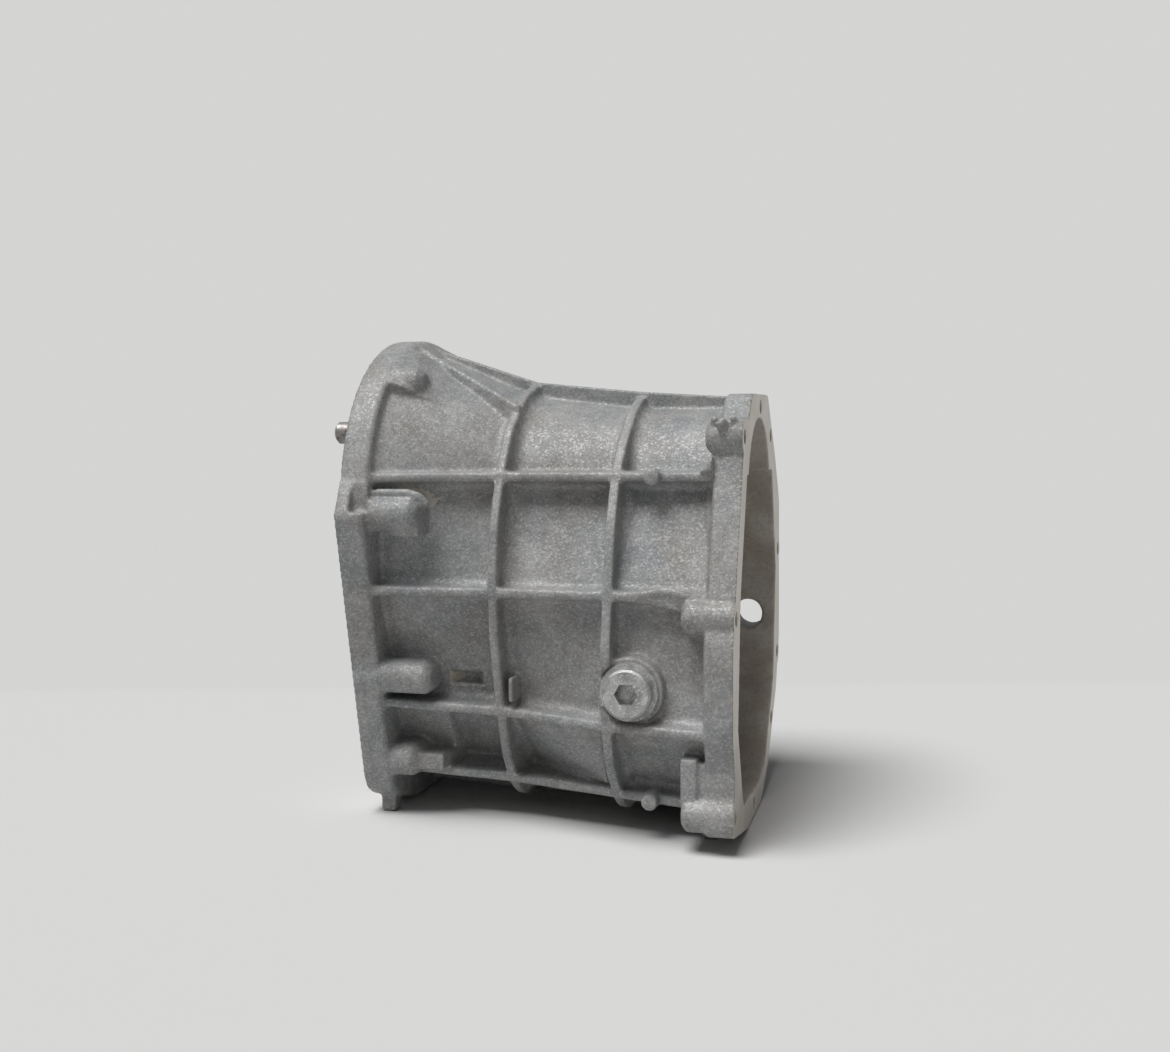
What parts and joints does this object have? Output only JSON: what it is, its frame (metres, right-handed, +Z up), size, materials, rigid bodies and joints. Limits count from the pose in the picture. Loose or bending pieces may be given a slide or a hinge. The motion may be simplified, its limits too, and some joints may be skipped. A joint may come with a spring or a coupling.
{
  "type": "gearbox housing",
  "caption": "Cast aluminium gearbox case with a round-topped front flange, ribbed tapering shell and open many-sided rear flange.",
  "frame": {"origin": "on the main shaft's axis at the front flange's machined face, where the input bearing's bore opens", "axes": "+X along the main shaft towards the rear flange, +Z up, -Y the side with the filler plug"},
  "size_m": [0.25, 0.227, 0.3037],
  "materials": {
    "cast_aluminium": "blasted casting, sparkling fine grain, machined flange faces",
    "painted_steel": "silver paint over steel",
    "washer_metal": "soft aluminium ring, painted with the case",
    "pin_steel": "ground steel, dulled"
  },
  "bodies": {
    "root": {"housing": "cast_aluminium", "filler_plug": "painted_steel", "plug_washer": "washer_metal", "dowel_pin_upper": "pin_steel", "dowel_pin_lower": "pin_steel"}
  },
  "joints": []
}
